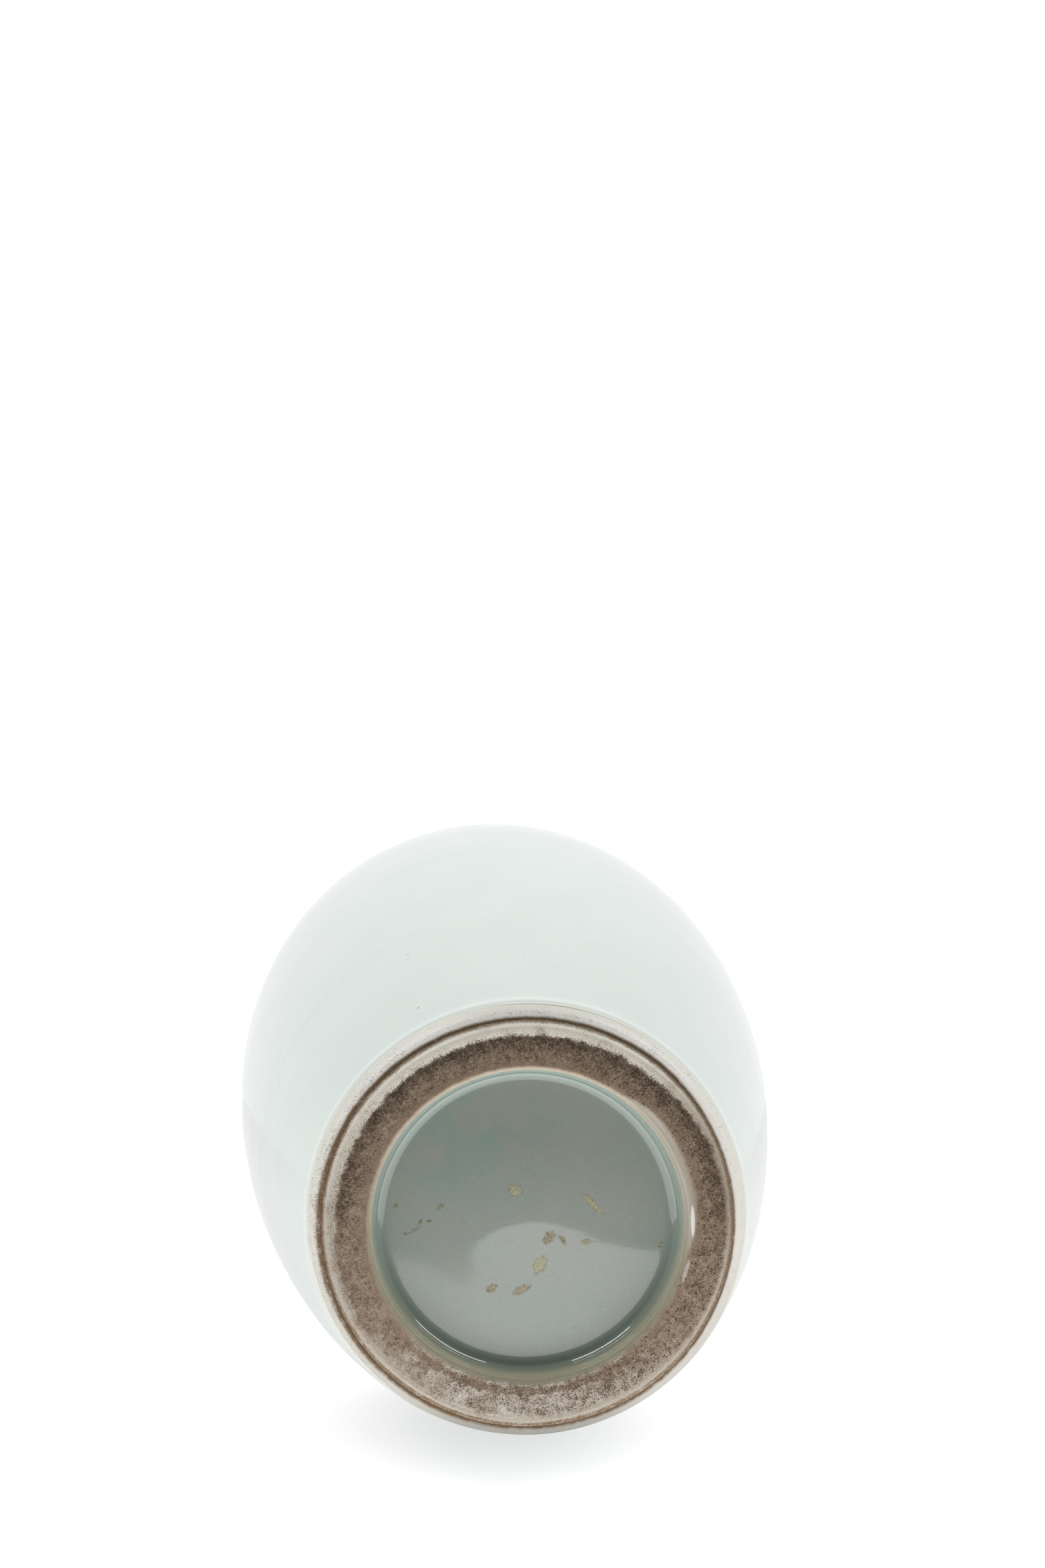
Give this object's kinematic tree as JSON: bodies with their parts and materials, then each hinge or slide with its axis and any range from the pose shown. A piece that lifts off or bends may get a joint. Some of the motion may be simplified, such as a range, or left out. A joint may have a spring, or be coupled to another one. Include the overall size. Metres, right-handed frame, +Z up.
{
  "type": "vase",
  "caption": "Tall turned flower vase: swelling body, round shoulder, short neck with flared mouth, pale green glaze, and a bare stepped foot ring round a glazed recess.",
  "frame": {"origin": "centre of the foot ring's ground face, on the vase's axis", "axes": "+Z up along the vase's axis to the mouth; the form is turned, so X and Y may point anywhere"},
  "size_m": [0.187, 0.187, 0.4185],
  "materials": {
    "foot_biscuit": "bare fired clay, browned and speckled, matt",
    "porcelain_clay": "fired white clay under the glaze, matt",
    "slip": "fired joining slip, matt",
    "celadon_glaze": "pale blue-green celadon, glossy",
    "base_celadon": "celadon pooled in the recess, glossy"
  },
  "bodies": {
    "root": {"foot_ring": "foot_biscuit", "base_disc": "porcelain_clay", "foot_seam": "slip", "lower_body": "porcelain_clay", "belly_seam": "slip", "upper_body": "porcelain_clay", "neck_seam": "slip", "neck": "porcelain_clay", "outer_glaze": "celadon_glaze", "inner_glaze": "celadon_glaze", "base_glaze": "base_celadon"}
  },
  "joints": []
}
